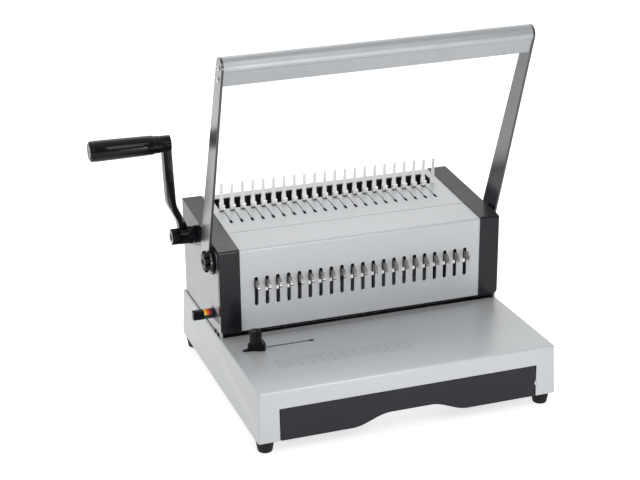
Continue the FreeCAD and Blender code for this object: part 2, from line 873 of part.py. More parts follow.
def punch_shaft():
    return geared_shaft(
        "punch_shaft",
        D.pivot_y,
        D.pivot_z,
        D.punch_shaft_radius,
        -D.arm_inner,
        D.arm_inner,
        PUNCH_MODULE,
        D.rack_x,
        math.pi,
        bore=4.05,
    )


def handle_discs():
    """Toothed disc between each arm and the housing."""
    discs = []
    for side in (-1, 1):
        body = new_body(f"disc_{side + 2}", 0, D.pivot_y, D.pivot_z)
        span = across(side, D.housing_half + D.cheek_skin + D.gap, D.arm_inner)
        add(body, "YZ_Plane", ("circle", 0, 0, 15.8), *span)
        tooth = [(15, -1.6), (17, -0.8), (17, 0.8), (15, 1.6)]
        first = add(body, "YZ_Plane", ("outline", tooth), *span)
        ring_of(body, [first], 26)
        bore = across(side, D.housing_half - 1, D.arm_inner + 1)
        remove(body, "YZ_Plane", ("circle", 0, 0, D.punch_shaft_radius), *bore)
        discs.append(body)
    return group("handle_discs", discs)


def clamp_knob():
    """Star knob on a spindle that runs into the end of the punch shaft."""
    body = new_body("clamp_knob", 0, D.pivot_y, D.pivot_z)
    inner = -D.arm_inner - D.arm_gauge - D.gap
    outer = inner - 6
    add(body, "YZ_Plane", ("circle", 0, 0, 10), outer, inner)
    first = add(body, "YZ_Plane", ("circle", 10, 0, 3.3), outer, inner)
    ring_of(body, [first], 8)
    add(body, "YZ_Plane", ("circle", 0, 0, 4), inner - 1, -175)
    return body


def punch_bar():
    """Bar that drives the punches, with a rack at each end and a channel for each selector."""
    body = new_body("punch_bar")
    low, top, rear = D.bar_bottom, D.bar_top, D.bar_rear
    front = D.bar_front
    add(body, "YZ_Plane", rectangle(front, low, rear, top), -D.bar_half, D.bar_half)
    pitch_y = SIZES["pivot_y"] - PUNCH_RADIUS
    foot = SIZES["bar_top"] - SIZES["pivot_z"] - 2
    teeth = rack_outline(PUNCH_MODULE, foot, 18.1, -8.0)
    rack = [(pitch_y + v, SIZES["pivot_z"] + u) for u, v in teeth]
    for side in (-1, 1):
        span = across(side, D.rack_x - 5, D.rack_x + 5)
        add(body, "YZ_Plane", ("outline", rack), *span)
    half = D.hole_length / 2
    x = FIRST_SLOT
    channel = rectangle(x - 1.8, low + 5.7, x + 1.8, low + 18.3)
    cut_channel = remove(body, "XZ_Plane", channel, front - 1, rear - 4)
    line = D.hole_line_y
    hole = rectangle(x - half, line - D.hole_width / 2, x + half, line + D.hole_width / 2)
    cut_hole = remove(body, "XY_Plane", hole, low - 1, low + 5.7)
    row_of(body, [cut_channel, cut_hole], D.hole_pitch, D.hole_count)
    return body


def punches():
    body = new_body("punch")
    half = D.hole_length / 2
    x, line = FIRST_SLOT, D.hole_line_y
    edge = rectangle(x - half, line - D.hole_width / 2, x + half, line + D.hole_width / 2)
    add(body, "XY_Plane", edge, D.punch_tip, D.bar_bottom + 5.7)
    return repeat("punches", body)


def repeat(name, body, count=SIZES["hole_count"], others=()):
    """A solid repeated along the comb pitch, with any other solids of the same sub-part."""
    solids = list(others)
    for index in range(count):
        solid = body.Shape.copy()
        solid.translate(Vector(index * SIZES["hole_pitch"], 0, 0))
        solids.append(solid)
    item = doc.addObject("Part::Feature", name)
    item.Shape = Part.makeCompound(solids)
    return item


def return_springs():
    """Springs that push the punch bar up off the guide."""
    coils = []
    low, high = SIZES["guide_top"], SIZES["bar_bottom"]
    turns, wire_radius = 6, 0.3
    height = high - low - 2 * wire_radius
    for x in (-156, 156):
        helix = Part.makeHelix(height / turns, height, 3.7)
        helix.translate(Vector(0, 0, wire_radius))
        wire = Part.Wire(helix.Edges)
        start = wire.Vertexes[0].Point
        ring = Part.Wire(Part.makeCircle(wire_radius, start, Vector(0, 1, 0)))
        coil = wire.makePipeShell([ring], True, True)
        coil.translate(Vector(x + SIZES["origin_x"], 16 + SIZES["origin_y"], low))
        coils.append(coil)
    item = doc.addObject("Part::Feature", "return_springs")
    item.Shape = Part.makeCompound(coils)
    return item


def selector(index):
    """Punch selector: a flat blade in the punch bar, its hooked end outside the cover."""
    body = new_body(f"selector_{index + 1:02d}", FIRST_SLOT + index * D.hole_pitch, 0, D.bar_bottom)
    blade = [
        (D.bar_rear - 5, 6),
        (D.bar_rear - 5, 18),
        (-0.4, 18.4),
        (-3.2, 18.3),
        (-6.2, 17.5),
        (-9, 16.1),
        (-11.2, 14.2),
        (-12.5, 11.8),
        (-12.6, 9.6),
        (-11.4, 8.6),
        (-9.4, 9.6),
        (-7, 10.2),
        (-4.2, 10),
        (-1.8, 8.8),
        (-0.4, 7.4),
        (2, 6),
    ]
    add(body, "YZ_Plane", ("outline", blade), -1.5, 1.5)
    return body


# ---------------------------------------------------------------------------------------------------
# Comb opener
# ---------------------------------------------------------------------------------------------------
def crank_arm():
    """Cranked arm with a boss at its foot, an elbow at its top and the spindle of the grip."""
    body = new_body("crank_arm", 0, D.crank_y, D.crank_z, -D.crank_lean)
    throw = D.crank_throw
    foot_in, foot_out, top_in, top_out = -201, -212, -213.5, -224.5
    limb = [
        (foot_out, -8),
        (foot_in, -8),
        (foot_in, 14),
        (top_in, 42),
        (top_in, throw),
        (top_out, throw),
        (top_out, 45),
        (foot_out, 18),
    ]
    add(body, "XZ_Plane", ("outline", limb), -7, 7)
    round_edges(body, 30.0, lambda a, b: abs(a.y - b.y) > 1 and 10 < a.z < 50)
    add(body, "YZ_Plane", ("circle", 0, 0, 11), foot_out, foot_in)
    add(body, "YZ_Plane", ("circle", 0, throw, 10.8), D.grip_inner_x + D.gap, top_in)
    add(body, "YZ_Plane", ("circle", 0, throw, 5), -D.grip_outer_x + 4, top_out)
    remove(body, "YZ_Plane", ("circle", 0, 0, D.crank_shaft_radius), foot_out + 2, foot_in + 1)
    return body


def crank_shaft():
    return geared_shaft(
        "crank_shaft",
        D.crank_y,
        D.crank_z,
        D.crank_shaft_radius,
        -210,
        D.housing_half - D.plate_gauge,
        HOOK_MODULE,
        Dim(170),
        math.radians(90 + SLOPE),
    )


def crank_hub_knob():
    """Knurled nut that fastens the crank, with a recess in its face."""
    body = new_body("crank_hub_knob", 0, D.crank_y, D.crank_z)
    inner, outer = -212, -222.5
    add(body, "YZ_Plane", ("circle", 0, 0, 9.9), outer, inner)
    ridge = [(9.4, -0.7), (10.5, -0.35), (10.5, 0.35), (9.4, 0.7)]
    first = add(body, "YZ_Plane", ("outline", ridge), outer + 1, inner - 1)
    ring_of(body, [first], 30)
    remove(body, "YZ_Plane", ("circle", 0, 0, 4), outer - 1, outer + 1.5)
    return body


def crank_grip():
    """Long grip that turns on the crank's spindle."""
    lean = math.radians(SIZES["crank_lean"])
    y = D.crank_y + D.crank_throw * math.sin(lean)
    z = D.crank_z + D.crank_throw * math.cos(lean)
    body = new_body("crank_grip", 0, y, z)
    inner, outer, collar = D.grip_inner_x, -D.grip_outer_x, 6
    small, large = D.grip_inner_radius, D.grip_radius
    profile = [
        (outer, 0),
        (outer, large - 3),
        (outer + 1, large - 1),
        (outer + 3.5, large),
        (inner - collar, small),
        (inner - collar + 1.5, small - 1.3),
        (inner, small - 1.3),
        (inner, D.running + 5),
        (outer + 3.7, D.running + 5),
        (outer + 3.7, 0),
    ]
    sketch = new_sketch(body, "XY_Plane", 0)
    draw(sketch, ("outline", profile))
    spin = body.newObject("PartDesign::Revolution", "grip_revolution")
    spin.Profile = sketch
    spin.ReferenceAxis = (sketch, ["H_Axis"])
    spin.Angle = 360
    doc.recompute()
    return body


def hook_carriage():
    """Cross bar under the top, with a rack and a sliding tongue at each end."""
    body = in_top_plane("hook_carriage")
    bar_end = 165.2
    add(body, "XY_Plane", rectangle(-bar_end, 108, bar_end, 119), -12, -4.2)
    axle_s, axle_n = 110.26, -23.6
    pitch_n = axle_n + HOOK_RADIUS
    rack_front, rack_rear = 104, 146
    teeth = rack_outline(HOOK_MODULE, rack_front - axle_s, rack_rear - axle_s, -4.8)
    rack = [(axle_s + u, pitch_n - v) for u, v in teeth]
    for side in (-1, 1):
        add(body, "YZ_Plane", ("outline", rack), *across(side, bar_end - 0.4, 174))
        tongue = rectangle(rack_front, -7, rack_rear, -4)
        add(body, "YZ_Plane", tongue, *across(side, 173.5, 183))
    return body


def comb_hooks():
    """Hooks that pull the comb's rings open, one at each slot, its head in front of a tine."""
    body = in_top_plane("hook")
    x = FIRST_HOOK
    add(body, "XY_Plane", rectangle(x - 0.4, 115, x + 0.4, 120), -4.2, 3.4)
    add(body, "XY_Plane", rectangle(x - 4.6, 119.4, x + 2.4, 123.6), 0.5, 6.5)
    return repeat("comb_hooks", body)


# ---------------------------------------------------------------------------------------------------
# Edge guide and margin stop
# ---------------------------------------------------------------------------------------------------
GUIDE_X, GUIDE_Y = -158.9, -43.9


def edge_guide_block():
    """Sliding block on the table, clamped through the slot, with a low pointer on its left."""
    body = new_body("edge_guide_block", GUIDE_X, GUIDE_Y, D.table_top)
    block = [(11.5, -5), (11.5, 8), (-3, 8), (-10, 2), (-10, -1), (8, -8)]
    pointer = [(-8, 3), (-17, -0.5), (-8, -3)]
    add(body, "XY_Plane", ("outline", block), D.gap, 9.5)
    add(body, "XY_Plane", ("outline", pointer), D.gap, 2.8)
    add(body, "XY_Plane", rectangle(-6, 2.2, 6, 5.8), -3, 1)
    add(body, "XY_Plane", rectangle(-6, -2, 6, 10), -5, -1.8)
    add(body, "XY_Plane", ("circle", 0, 0, 2.5), 9, 18)
    return body


def edge_guide_knob():
    """Fluted nut on the stud of the guide block."""
    body = new_body("edge_guide_knob", GUIDE_X, GUIDE_Y, D.table_top + 9.8)
    height = 16.4
    add(body, "XY_Plane", ("circle", 0, 0, 7.5), 0, height)
    first = remove(body, "XY_Plane", ("circle", 7.9, 0, 1.2), 2.5, height + 1)
    ring_of(body, [first], 16, "Z_Axis")
    remove(body, "XY_Plane", ("circle", 0, 0, 2.55), -1, 9)
    return body


MARGIN_Y, MARGIN_Z = 35.0, 105.0


CAM_START = 6.42
CAM_LIFT = 3


def margin_knob():
    """Flat knob on a spindle with a snail cam in front of the depth stop's tab."""
    body = new_body("margin_knob", 0, MARGIN_Y, MARGIN_Z)
    add(body, "YZ_Plane", rectangle(-4, -5.5, 4, 5.5), -217.5, -203.5)
    add(body, "YZ_Plane", ("circle", 0, 0, 3), -204, -158)
    growth = CAM_LIFT / (math.pi / 2)
    cam = []
    for step in range(-2, 12):
        angle = -step * math.pi / 20
        radius = CAM_START + growth * max(0.0, -angle)
        cam.append((radius * math.cos(angle), radius * math.sin(angle)))
    cam += [(-4, -4), (-4, 4)]
    add(body, "YZ_Plane", ("outline", cam), -166, -160)
    return body


def margin_collar():
    """Ring behind the margin knob that carries its colour scale."""
    sleeve = rod("collar_sleeve", -203.5, -190.4, MARGIN_Y, MARGIN_Z, 6.5)
    bore = rod("collar_bore", -204, -190, MARGIN_Y, MARGIN_Z, 3)
    return cut("margin_collar", sleeve, bore)


def depth_stop():
    """Strip at the back of the throat for the paper's edge, with a tab just clear of the highest cam."""
    body = new_body("depth_stop")
    line = D.hole_line_y + 5
    low = D.table_top + 1
    web, top = low + 1.9, low + 3.2
    tab = MARGIN_Y + CAM_START + CAM_LIFT + 0.58
    add(body, "XY_Plane", rectangle(-150, line, 150, line + 2), low, top)
    add(body, "XY_Plane", rectangle(-150, line, 150, 44), web, top)
    add(body, "XY_Plane", rectangle(-168, 36, -149, tab + 2), web, top)
    add(body, "XY_Plane", rectangle(-168, tab, -160, tab + 2), web, 112)
    return body


# ---------------------------------------------------------------------------------------------------
# Assembly
# ---------------------------------------------------------------------------------------------------
HANDLE_BORE = (D.pivot_y, D.pivot_z, 11)
LEFT_BORES = [HANDLE_BORE, (D.crank_y, D.crank_z, D.crank_collar), (MARGIN_Y, MARGIN_Z, 5)]
RIGHT_BORES = [HANDLE_BORE, (D.crank_y, D.crank_z, 9)]
NODES = [
    base_casing(),
    base_plate(),
    rubber_feet(),
    drawer_runners(),
    chip_drawer(),
    drawer_front(),
    side_plate(-1, "side_plate_left", LEFT_BORES),
    side_plate(1, "side_plate_right", RIGHT_BORES),
    cheek(-1, "cheek_left"),
    cheek(1, "cheek_right"),
    front_cover(),
    top_plate(),
    rear_cover(),
    comb_trough(),
    tine_comb(),
    punch_guide(),
    die_plate(),
    shaft_bushes(),
    handle_bar(),
    handle_arm(-1, "handle_arm_left"),
    handle_arm(1, "handle_arm_right"),
    handle_screws(),
    punch_shaft(),
    handle_discs(),
    clamp_knob(),
    punch_bar(),
    punches(),
    return_springs(),
    crank_arm(),
    crank_shaft(),
    crank_hub_knob(),
    crank_grip(),
    hook_carriage(),
    comb_hooks(),
    edge_guide_block(),
    edge_guide_knob(),
    margin_knob(),
    margin_collar(),
    depth_stop(),
]
NODES += [selector(index) for index in range(SIZES["hole_count"])]
doc.recompute()

for item in doc.Objects:
    if "Invalid" in item.State or "Error" in item.State:
        raise RuntimeError(f"{item.Label} did not recompute: {item.State}")
for item in NODES:
    if item.Shape.isNull() or not item.Shape.isValid():
        raise RuntimeError(f"{item.Label} has no valid shape")
    item.Shape.exportStep(f"parts/{item.Label}.step")
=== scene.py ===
import json
import math

import bmesh
import bpy
from mathutils import Matrix, Vector

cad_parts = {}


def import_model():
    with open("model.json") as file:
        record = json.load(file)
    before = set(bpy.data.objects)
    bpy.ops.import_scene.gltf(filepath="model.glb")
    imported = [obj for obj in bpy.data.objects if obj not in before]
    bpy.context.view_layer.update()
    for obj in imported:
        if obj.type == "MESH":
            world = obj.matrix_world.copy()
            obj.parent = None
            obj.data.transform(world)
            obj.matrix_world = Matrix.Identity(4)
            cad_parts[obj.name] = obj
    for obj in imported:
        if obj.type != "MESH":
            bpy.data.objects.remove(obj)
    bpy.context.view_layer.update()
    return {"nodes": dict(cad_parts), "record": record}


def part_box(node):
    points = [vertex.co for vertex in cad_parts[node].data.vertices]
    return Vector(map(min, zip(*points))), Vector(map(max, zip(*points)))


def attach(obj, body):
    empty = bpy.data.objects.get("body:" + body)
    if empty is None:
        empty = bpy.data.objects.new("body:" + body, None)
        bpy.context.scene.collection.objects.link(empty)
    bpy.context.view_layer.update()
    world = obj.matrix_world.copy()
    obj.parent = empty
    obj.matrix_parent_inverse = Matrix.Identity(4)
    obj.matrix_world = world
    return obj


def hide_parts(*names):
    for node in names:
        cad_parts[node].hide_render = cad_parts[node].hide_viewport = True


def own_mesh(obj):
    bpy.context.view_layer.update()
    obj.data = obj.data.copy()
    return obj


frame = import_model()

# ---------------------------------------------------------------------------------------------------
# Frames: millimetres in the machine's own axes, x = 0 at the middle of the casing and of the row of
# slots, y = 0 the front face of the housing, z = 0 the surface it stands on. PIVOT, CRANK_AXIS and
# MARGIN_AXIS are (y, z) of axes that run along x.
# ---------------------------------------------------------------------------------------------------
MM = 0.001
PITCH = 14.2875
HOLES = 21
casing_low, casing_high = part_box("base_casing")
cover_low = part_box("front_cover")[0]
ORIGIN = Vector(((casing_low[0] + casing_high[0]) / 2, cover_low[1], 0.0))
TABLE = 82.0
PLATE_OUTER = 190.0
PIVOT = (27.0, 179.0)
HANDLE_LEAN = math.radians(20.5)
CRANK_AXIS = (112.0, 185.0)
CRANK_LEAN = math.radians(-9)
CRANK_THROW = 121.7
MARGIN_AXIS = (35.0, 105.0)
BAR_BOTTOM = 138.0
QUARTER_TURN = math.radians(90)


def local(x, y, z, turn=0.0):
    """Matrix from millimetres about a point of the machine, turned about X, to the scene's metres."""
    place = Matrix.Translation(ORIGIN + Vector((x, y, z)) * MM)
    return place @ Matrix.Rotation(turn, 4, "X") @ Matrix.Scale(MM, 4)


MACHINE = local(0, 0, 0)
HANDLE = local(0, *PIVOT, HANDLE_LEAN)
CRANK = local(0, *CRANK_AXIS, CRANK_LEAN)
GRIP = CRANK @ Matrix.Translation((0, 0, CRANK_THROW))
SLOT_X = [(index - (HOLES - 1) / 2) * PITCH for index in range(HOLES)]


# ---------------------------------------------------------------------------------------------------
# Materials
# ---------------------------------------------------------------------------------------------------
CLOUD_SCALE = 14.0
GLOSS_SCALE = 60.0
WAVE_DEPTH = 0.00001
FINE_GRAIN = 1500.0


class Nodes:
    """Small helper to wire up one node material."""

    def __init__(self, name, colour, roughness, metallic=0.0):
        self.material = bpy.data.materials.new(name)
        self.material.use_nodes = True
        self.tree = self.material.node_tree
        self.shader = self.tree.nodes["Principled BSDF"]
        self.set("Base Color", (*colour, 1.0))
        self.set("Roughness", roughness)
        self.set("Metallic", metallic)
        self.material.diffuse_color = (*colour, 1.0)
        self.coords = self.add("ShaderNodeTexCoord").outputs["Object"]

    def add(self, kind, **settings):
        node = self.tree.nodes.new(kind)
        for key, value in settings.items():
            setattr(node, key, value)
        return node

    def set(self, socket, value):
        self.shader.inputs[socket].default_value = value

    def join(self, output, socket):
        self.tree.links.new(output, socket)

    def stretched(self, scale):
        mapping = self.add("ShaderNodeMapping")
        mapping.inputs["Scale"].default_value = scale
        self.join(self.coords, mapping.inputs["Vector"])
        return mapping.outputs["Vector"]

    def noise(self, scale, detail=2.0, rough=0.5, vector=None):
        node = self.add("ShaderNodeTexNoise")
        node.inputs["Scale"].default_value = scale
        node.inputs["Detail"].default_value = detail
        node.inputs["Roughness"].default_value = rough
        self.join(vector or self.coords, node.inputs["Vector"])
        return node.outputs["Fac"]

    def remap(self, value, low, high, start=0.35, end=0.65):
        node = self.add("ShaderNodeMapRange")
        for key, amount in (("From Min", start), ("From Max", end), ("To Min", low), ("To Max", high)):
            node.inputs[key].default_value = amount
        self.join(value, node.inputs["Value"])
        return node.outputs["Result"]

    def blend(self, factor, first, second):
        node = self.add("ShaderNodeMix", data_type="RGBA")
        self.join(factor, node.inputs["Factor"])
        for socket, value in ((node.inputs[6], first), (node.inputs[7], second)):
            if isinstance(value, tuple):
                socket.default_value = (*value, 1.0)
            else:
                self.join(value, socket)
        return node.outputs[2]

    def axis(self, name):
        split = self.add("ShaderNodeSeparateXYZ")
        self.join(self.coords, split.inputs["Vector"])
        return split.outputs[name]

    def bump(self, height, distance, normal=None):
        node = self.add("ShaderNodeBump")
        node.inputs["Distance"].default_value = distance
        self.join(height, node.inputs["Height"])
        if normal is not None:
            self.join(normal, node.inputs["Normal"])
        return node.outputs["Normal"]

    def finish(self, colour=None, roughness=None, normal=None):
        for output, socket in ((colour, "Base Color"), (roughness, "Roughness"), (normal, "Normal")):
            if output is not None:
                self.join(output, self.shader.inputs[socket])
        return self.material


def shade(colour, factor):
    return tuple(min(1.0, channel * factor) for channel in colour)


def surface(
    name, colour, roughness, metallic=0.0, grain=900.0, depth=0.00003, mottle=0.04, spread=0.05, **sockets
):
    """Moulded plastic or sprayed paint: fine grain over a faint waviness, cloudy shade, uneven gloss."""
    made = Nodes(name, colour, roughness, metallic)
    for socket, value in sockets.items():
        made.set(socket.replace("_", " "), value)
    cloud = made.remap(made.noise(CLOUD_SCALE, 4.0), 0.0, 1.0)
    tint = made.blend(cloud, shade(colour, 1 - mottle), shade(colour, 1 + mottle))
    speck = made.remap(made.noise(grain * 0.6, 1.0), 0.0, 1.0, 0.3, 0.7)
    tint = made.blend(speck, shade(colour, 1 - mottle), tint)
    gloss = made.remap(made.noise(GLOSS_SCALE, 3.0), roughness - spread, roughness + spread)
    waves = made.bump(made.noise(GLOSS_SCALE, 2.0), WAVE_DEPTH)
    fine = made.bump(made.noise(grain, 2.0), depth, waves)
    return made.finish(tint, gloss, fine)


def metal(name, colour, roughness, along, line=2200.0, depth=0.00001, mottle=0.06, spread=0.08, **sockets):
    """Drawn or ground metal with fine lines along one axis (0, 1 or 2)."""
    streak_scale, smudge_scale = 12.0, 25.0
    made = Nodes(name, colour, roughness, 1.0)
    for socket, value in sockets.items():
        made.set(socket.replace("_", " "), value)
    scale = [line, line, line]
    scale[along] = streak_scale
    streaks = made.noise(1.0, 3.0, 0.6, made.stretched(tuple(scale)))
    tint = made.blend(made.remap(streaks, 0.0, 1.0), shade(colour, 1 - mottle), shade(colour, 1 + mottle))
    gloss = made.remap(made.noise(smudge_scale, 3.0), roughness - spread, roughness + spread)
    return made.finish(tint, gloss, made.bump(streaks, depth))


def collar_material():
    """Colour scale on the collar: yellow, orange and red above, black below and towards the housing."""
    yellow = (0.85, 0.50, 0.01)
    orange = (0.80, 0.12, 0.008)
    red = (0.40, 0.012, 0.01)
    inner_black = (0.010, 0.010, 0.011)
    lower_black = (0.008, 0.008, 0.009)
    made = Nodes("collar_plastic", (0.9, 0.3, 0.03), 0.35)
    low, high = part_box("margin_collar")
    middle = (low[2] + high[2]) / 2
    place = made.remap(made.axis("X"), 0.0, 1.0, low[0], high[0])
    tint = made.blend(made.remap(place, 0.0, 1.0, 0.10, 0.30), yellow, orange)
    tint = made.blend(made.remap(place, 0.0, 1.0, 0.35, 0.55), tint, red)
    tint = made.blend(made.remap(place, 0.0, 1.0, 0.60, 0.72), tint, inner_black)
    upper = made.remap(made.axis("Z"), 0.0, 1.0, middle + 0.0008, middle + 0.0014)
    tint = made.blend(upper, lower_black, tint)
    return made.finish(tint, None, made.bump(made.noise(FINE_GRAIN), WAVE_DEPTH))


SILVER = (0.412, 0.424, 0.436)
# Factors on the silver: darker for the side plates as painted shade, dark for print and for the front end of
# the painted knob shadow, and pale for faint print.
SIDE_PAINTED_SHADE, DARK_INK_AND_SHADOW_TONE, PALE_INK_SHADE = 0.76, 0.16, 0.50
silver = surface(
    "silver_paint", SILVER, 0.36, 0.24, grain=2200.0, depth=0.000004, mottle=0.008, spread=0.02,
)
aluminium = metal("satin_aluminium", (0.345, 0.358, 0.368), 0.52, 0, mottle=0.02, spread=0.03)
matt_black = surface("matt_black", (0.006, 0.006, 0.0065), 0.6, Specular_IOR_Level=0.15)
gloss_black = surface(
    "gloss_black", (0.003, 0.0035, 0.0045), 0.13, grain=1300.0, depth=0.000001, Specular_IOR_Level=0.12,
)
BY_SLOT = {
    "silver_paint": silver,
    "plated_steel": metal("plated_steel", (0.50, 0.51, 0.53), 0.35, 0),
    "tool_steel": metal("tool_steel", (0.40, 0.41, 0.43), 0.30, 0),
    "nickel_steel": surface("nickel_steel", (0.86, 0.86, 0.84), 0.22, 0.30, grain=1800.0, depth=0.000002),
    "spring_steel": metal("spring_steel", (0.45, 0.46, 0.48), 0.30, 0),
    "screw_steel": metal("screw_steel", (0.62, 0.63, 0.65), 0.16, 1),
    "satin_aluminium": aluminium,
    "trough_paint": surface("trough_paint", (0.012, 0.012, 0.013), 0.5, Specular_IOR_Level=0.3),
    "dark_paint": surface(
        "dark_paint", (0.007, 0.008, 0.012), 0.24, grain=1300.0, depth=0.000001, spread=0.03, Coat_Weight=0.8,
        Coat_Roughness=0.22,
    ),
    "charcoal_trim": surface(
        "charcoal_trim", (0.006, 0.007, 0.0095), 0.22, grain=1300.0, depth=0.000002, Specular_IOR_Level=0.27,
    ),
    "drawer_plastic": surface(
        "drawer_plastic", (0.013, 0.0135, 0.0180), 0.38, grain=1100.0, depth=0.000006,
        Specular_IOR_Level=0.22,
    ),
    "tray_plastic": surface("tray_plastic", (0.03, 0.03, 0.033), 0.55),
    "black_plastic": surface(
        "black_plastic", (0.003, 0.0035, 0.005), 0.20, grain=1500.0, depth=0.000002, Specular_IOR_Level=0.12,
    ),
    "knob_plastic": surface(
        "knob_plastic", (0.003, 0.003, 0.004), 0.22, grain=1500.0, depth=0.000002, Specular_IOR_Level=0.15,
    ),
    "grip_plastic": surface(
        "grip_plastic", (0.002, 0.0025, 0.0035), 0.14, grain=700.0, depth=0.000002, Specular_IOR_Level=0.20,
    ),
    "guide_plastic": surface(
        "guide_plastic", (0.003, 0.0035, 0.0045), 0.18, grain=1300.0, depth=0.000002, Specular_IOR_Level=0.18,
    ),
    "bush_plastic": surface("bush_plastic", (0.008, 0.008, 0.009), 0.45, Specular_IOR_Level=0.3),
    "selector_plastic": surface(
        "selector_plastic", (0.23, 0.225, 0.215), 0.24, 0.8, grain=1300.0, depth=0.00001,
    ),
    "collar_plastic": collar_material(),
    "foot_rubber": surface(
        "foot_rubber", (0.008, 0.008, 0.009), 0.6, grain=1200.0, depth=0.00002, Specular_IOR_Level=0.15,
    ),
}
INK = surface("print_ink", shade(SILVER, DARK_INK_AND_SHADOW_TONE), 0.5, 0.2, grain=FINE_GRAIN, mottle=0.05)
PALE_INK = surface("pale_ink", shade(SILVER, PALE_INK_SHADE), 0.5, 0.2, grain=FINE_GRAIN, mottle=0.05)
NODE_SLOT = {entry["node"]: entry["material_slot"] for entry in frame["record"]["subparts"]}
# Side plates: the same silver paint made darker, painted shade for sides that catch less light than the front
# and top.
side_silver_painted_shade = surface(
    "side_silver_painted_shade", shade(SILVER, SIDE_PAINTED_SHADE), 0.36, 0.24, grain=2200.0, depth=0.000004, mottle=0.008,
    spread=0.02,
)
BY_NODE = {
    "punch_guide": matt_black,
    "punch_bar": matt_black,
    "hook_carriage": matt_black,
    "crank_arm": gloss_black,
    "side_plate_left": side_silver_painted_shade,
    "side_plate_right": side_silver_painted_shade,
}


def material_of(node):
    """Material of a CAD node: its own where it has one, else its slot's."""
    return BY_NODE.get(node) or BY_SLOT[NODE_SLOT[node]]


for node_name, node_object in frame["nodes"].items():
    for slot in node_object.material_slots:
        slot.material = material_of(node_name)


# ---------------------------------------------------------------------------------------------------
# Mesh tools
# ---------------------------------------------------------------------------------------------------
NODE_BODY = {node: body for body, nodes in frame["record"]["behaviour"]["bodies"].items() for node in nodes}


def turned(profile, steps=48, ripple=None):
    """Closed solid about local X through (x, radius) points; ripple(angle, radius) changes the radius."""
    work = bmesh.new()
    rings = []
    for x, radius in profile:
        ring = []
        for step in range(steps):
            angle = 2 * math.pi * step / steps
            reach = radius if ripple is None else ripple(angle, radius)
            ring.append(work.verts.new((x, reach * math.cos(angle), reach * math.sin(angle))))
        rings.append(ring)
    for first, second in zip(rings, rings[1:]):
        for step in range(steps):
            after = (step + 1) % steps
            work.faces.new((first[step], first[after], second[after], second[step]))
    work.faces.new(rings[0])
    work.faces.new(rings[-1])
    bmesh.ops.recalc_face_normals(work, faces=work.faces)
    return work


def hoop(section, steps=48):
    """Ring about local X whose closed section is given as (x, radius) points."""
    work = bmesh.new()
    angles = [2 * math.pi * step / steps for step in range(steps)]
    loops = [[work.verts.new((x, r * math.cos(a), r * math.sin(a))) for a in angles] for x, r in section]
    for first, second in zip(loops, loops[1:] + loops[:1]):
        for step in range(steps):
            after = (step + 1) % steps
            work.faces.new((first[step], first[after], second[after], second[step]))
    bmesh.ops.recalc_face_normals(work, faces=work.faces)
    return work


def prism(outline, start, end, axis="X"):
    """Solid between two copies of an outline of the plane across the axis."""
    def corner(a, b, c):
        return {"X": (c, a, b), "Y": (a, c, b), "Z": (a, b, c)}[axis]

    work = bmesh.new()
    low = [work.verts.new(corner(a, b, start)) for a, b in outline]
    high = [work.verts.new(corner(a, b, end)) for a, b in outline]
    work.faces.new(low)
    work.faces.new(high)
    for index in range(len(outline)):
        after = (index + 1) % len(outline)
        work.faces.new((low[index], low[after], high[after], high[index]))
    bmesh.ops.recalc_face_normals(work, faces=work.faces)
    return work


def block(low, high):
    """Box between two opposite corners."""
    outline = [(low[0], low[1]), (high[0], low[1]), (high[0], high[1]), (low[0], high[1])]
    return prism(outline, low[2], high[2], "Z")


def merged(parts):
    """Several solids in one mesh."""
    whole = bmesh.new()
    for part in parts:
        mesh = bpy.data.meshes.new("part")
        part.to_mesh(mesh)
        part.free()
        whole.from_mesh(mesh)
        bpy.data.meshes.remove(mesh)
    return whole


def moved(work, x=0.0, y=0.0, z=0.0):
    bmesh.ops.translate(work, verts=work.verts, vec=(x, y, z))
    return work


def arc(centre, radius, start, end, steps):
    """Points of a round stretch, angles in degrees."""
    angles = [math.radians(start + (end - start) * step / steps) for step in range(steps + 1)]
    return [(centre[0] + radius * math.cos(angle), centre[1] + radius * math.sin(angle)) for angle in angles]


def flowing(points, steps=5):
    """Closed smooth curve through the points (Catmull-Rom)."""
    count = len(points)
    curve = []
    for index in range(count):
        a, b, c, d = (points[(index + shift) % count] for shift in (-1, 0, 1, 2))
        for step in range(steps):
            t = step / steps
            curve.append(tuple(
                0.5 * (2 * b[k] + (c[k] - a[k]) * t + (2 * a[k] - 5 * b[k] + 4 * c[k] - d[k]) * t ** 2
                       + (3 * b[k] - a[k] - 3 * c[k] + d[k]) * t ** 3)
                for k in (0, 1)
            ))
    return curve


def finish_mesh(name, mesh, material, body, smooth=32.0, bevel=0.0, segments=2):
    """Object of the mesh, shaded smooth up to an angle in degrees, its edges rounded, on its body."""
    mesh.materials.clear()
    mesh.materials.append(material)
    mesh.shade_smooth()
    mesh.set_sharp_from_angle(angle=math.radians(smooth))
    item = bpy.data.objects.new(name, mesh)
    bpy.context.scene.collection.objects.link(item)
    if bevel:
        rounding = item.modifiers.new("edge", "BEVEL")
        rounding.width = bevel * MM
        rounding.segments = segments
        rounding.limit_method = "ANGLE"
        rounding.angle_limit = math.radians(smooth)
        rounding.harden_normals = True
    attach(item, body)
    return item


def piece(name, work, matrix, slot, body, replaces=None, material=None, **looks):
    """One new piece from millimetres in the given frame."""
    work.transform(matrix)
    mesh = bpy.data.meshes.new(name)
    work.to_mesh(mesh)
    work.free()
    item = finish_mesh(name, mesh, material or BY_SLOT[slot], body, **looks)
    if replaces:
        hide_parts(replaces)
    return item


